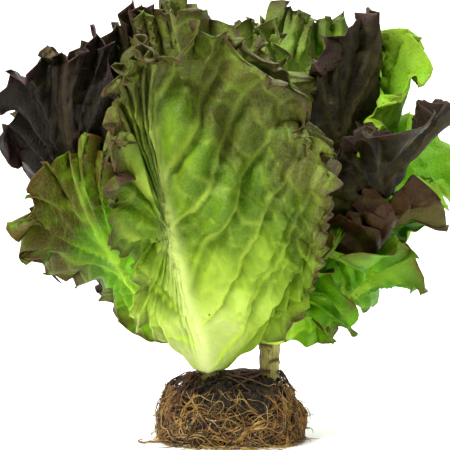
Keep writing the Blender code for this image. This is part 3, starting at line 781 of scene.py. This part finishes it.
# loose root ends: hairs on the top and the sides, and a mat that trails on the ground
hairs, mat = [], []
for index in range(150):
    spot = onBall(random.uniform(0, 360), random.uniform(0.05, 1), 0)
    out = Vector((spot.x, spot.y, random.uniform(-12, 18))).normalized()
    side = Vector((-out.y, out.x, random.uniform(-0.6, 0.6)))
    reach, swing = random.uniform(3, 8), random.uniform(-5, 5)
    hairs.append(([spot + out * reach * math.sin(1.7 * t) + side * swing * t * t - Vector((0, 0, 3 * t * t))
                   for t in (k / 8 for k in range(9))], 0.26, 0.1))
for index in range(90):
    azimuth = random.gauss(-92, 26) if index % 3 else random.uniform(0, 360)
    spot = onBall(azimuth, 0.03, -1)
    heading = math.radians(azimuth + random.uniform(-70, 70))
    points, place = [], Vector((spot.x, spot.y, 1.0))
    for step in range(random.randint(5, 11)):
        points.append(place.copy())
        heading += random.uniform(-0.45, 0.45)
        place += Vector((math.cos(heading), math.sin(heading), 0)) * 1.5
        place.z = max(0.3, place.z + random.uniform(-0.5, 0.45))
    mat.append((points, random.uniform(0.25, 0.45), 0.12))
rootPiece("loose_root_hairs", hairs, "orange")
rootPiece("trailing_roots", mat, "pale")
print("root ball ready")

# stems with the scars of stripped leaves, in mm
stemShape = {"sides": 72, "rings": 150, "bottom": 27, "tip": 5,
             "scars": 9, "scarSpacing": 4.3, "scarDepth": 0.9}


def stemMaterial():
    # old lettuce stalk: satin olive skin with fibres 1.4 mm apart, 5 mm brown blotches and corky leaf scars
    material, tree, shader = newMaterial("oliveStalkSkin")
    place = addNode(tree, "ShaderNodeTexCoord").outputs["Object"]
    scar = addNode(tree, "ShaderNodeAttribute", attribute_name="scar").outputs["Fac"]
    long = addNode(tree, "ShaderNodeMapping", {"Vector": place}, inputs={"Scale": (1, 1, 0.16)})
    fibre = addNode(tree, "ShaderNodeTexNoise", {"Vector": long.outputs["Vector"]},
                    inputs={"Scale": 700.0, "Detail": 5.0, "Roughness": 0.65})
    blotch = addNode(tree, "ShaderNodeTexNoise", {"Vector": place}, inputs={"Scale": 190.0, "Detail": 5.0})
    tones = addNode(tree, "ShaderNodeValToRGB", {"Fac": fibre.outputs["Fac"]})
    tones.color_ramp.elements[0].position = 0.34
    tones.color_ramp.elements[0].color = linearColour("#756d2c")
    tones.color_ramp.elements[1].position = 0.68
    tones.color_ramp.elements[1].color = linearColour("#c0b65a")
    brown = addNode(tree, "ShaderNodeMapRange", {"Value": blotch.outputs["Fac"]},
                    interpolation_type="SMOOTHSTEP", inputs={"From Min": 0.5, "From Max": 0.66})
    stain = addNode(tree, "ShaderNodeMath", {0: scar, 1: brown.outputs["Result"]}, operation="MAXIMUM")
    skin = addNode(tree, "ShaderNodeMix", data_type="RGBA")
    tree.links.new(stain.outputs["Value"], skin.inputs["Factor"])
    tree.links.new(tones.outputs["Color"], skin.inputs["A"])
    skin.inputs["B"].default_value = linearColour("#4a3414")
    tree.links.new(skin.outputs["Result"], shader.inputs["Base Color"])
    bump = addNode(tree, "ShaderNodeBump", {"Height": fibre.outputs["Fac"]},
                   inputs={"Strength": 0.7, "Distance": 0.0006})
    tree.links.new(bump.outputs["Normal"], shader.inputs["Normal"])
    shader.inputs["Roughness"].default_value = 0.55
    return material


stalkSkin = stemMaterial()
for node, plant in (("left_stem", plants["left"]), ("right_stem", plants["right"])):
    sheet = bmesh.new()
    bmesh.ops.create_grid(sheet, x_segments=stemShape["sides"], y_segments=stemShape["rings"], size=1)
    scarLayer = sheet.verts.layers.float.new("scar")
    scars = [(137.5 * k % 360 - 180, 37 + stemShape["scarSpacing"] * k + 1.5 * math.sin(k * 2.3))
             for k in range(stemShape["scars"])]
    bottom, leafLow, leafTop = stemShape["bottom"], plant["leafLow"], plant["leafTop"]
    top = leafTop + stemShape["tip"]
    heights = (bottom, leafLow - 7, leafLow, leafTop, top - 1, top)
    radii = (plant["footRadius"], plant["footRadius"], plant["lowRadius"], plant["topRadius"],
             0.6 * plant["topRadius"], 0)
    for vert in sheet.verts:
        turn, rise = vert.co.x * math.pi, (vert.co.y + 1) / 2
        z = bottom + rise * (top - bottom)
        radius = float(np.interp(z, heights, radii))
        radius *= 0 if rise < 1e-6 else 1
        scarred = 0
        for azimuth, height in scars:
            away = abs((math.degrees(turn) - azimuth + 180) % 360 - 180)
            bowed = z - height + 1.6 * (away / 55) ** 2
            if away < 62 and abs(bowed) < 3:
                across = float(ramp(62, 45, away))
                radius += stemShape["scarDepth"] * math.exp(-(bowed / 0.8) ** 2) * across * (radius > 1)
                scarred = max(scarred, math.exp(-((bowed - 1.3) / 1.0) ** 2) * across)
        way = Vector((math.cos(turn), math.sin(turn), 0))
        ridges = noise.noise((way.x * 2.2, way.y * 2.2, z * 0.12)) * 0.8
        ridges += noise.noise(way * 5 + Vector((0, 0, z * 0.3))) * 0.35
        radius += ridges * (radius > 1)
        vert[scarLayer] = scarred
        vert.co = Vector((plant["x"], plant["y"], z)) * mm + way * radius * mm
    bmesh.ops.remove_doubles(sheet, verts=sheet.verts, dist=1e-6)
    meshPiece(f"{node}_scarred", sheet, stalkSkin, [node])
print("stems ready")

# floor, light and camera
studio = {"floor": "#f7f7f5", "reach": 4, "bendAt": 2.5, "bend": 1.6, "room": 0.62,
          "lens": 192.6, "distance": 1.3, "elevation": 4, "aim": (-0.0032, 0, 0.1166)}
lamps = {"key": {"place": (-0.9, -0.9, 1.3), "aim": (0, 0, 0.12), "watts": 34, "size": 0.45},
         "top": {"place": (0.6, 0.3, 1.8), "aim": (0, 1.5, 0.3), "watts": 30, "size": 1.2},
         "backdropLight": {"place": (0, 1.9, 2.0), "aim": (0, 2.5, 0), "watts": 75, "size": 1.6}}
sweep = bmesh.new()  # floor that curves up into the backdrop
bmesh.ops.create_grid(sweep, x_segments=1, y_segments=120, size=studio["reach"])
for vert in sweep.verts:
    vert.co.z = studio["bend"] * max(0, vert.co.y - studio["bendAt"]) ** 2
mesh = bpy.data.meshes.new("floor")
sweep.to_mesh(mesh)
sweep.free()
mesh.shade_smooth()
floor = bpy.data.objects.new("floor", mesh)
bpy.context.scene.collection.objects.link(floor)
material, tree, shader = newMaterial("paleFloor")  # matt painted board, almost white
shader.inputs["Base Color"].default_value = linearColour(studio["floor"])
shader.inputs["Roughness"].default_value = 0.9
mesh.materials.append(material)

world = bpy.data.worlds.new("softRoom")
world.use_nodes = True
world.node_tree.nodes["Background"].inputs["Color"].default_value = (1, 1, 1, 1)
world.node_tree.nodes["Background"].inputs["Strength"].default_value = studio["room"]
bpy.context.scene.world = world
for name, values in lamps.items():
    lamp = bpy.data.lights.new(name, "AREA")
    lamp.energy = values["watts"]
    lamp.size = values["size"]
    lampObject = bpy.data.objects.new(name, lamp)
    lampObject.location = values["place"]
    towards = Vector(values["aim"]) - Vector(values["place"])
    lampObject.rotation_euler = towards.to_track_quat("-Z", "Y").to_euler()
    bpy.context.scene.collection.objects.link(lampObject)

camera = bpy.data.cameras.new("camera")
camera.lens = studio["lens"]
camera.sensor_width = 36
cameraObject = bpy.data.objects.new("camera", camera)
tilt = math.radians(studio["elevation"])
aim = Vector(studio["aim"])
cameraObject.location = aim + studio["distance"] * Vector((0, -math.cos(tilt), math.sin(tilt)))
cameraObject.rotation_euler = (math.radians(90) - tilt, 0, 0)
bpy.context.scene.collection.objects.link(cameraObject)
bpy.context.scene.camera = cameraObject
bpy.context.scene.view_settings.view_transform = "Standard"
print("studio ready")
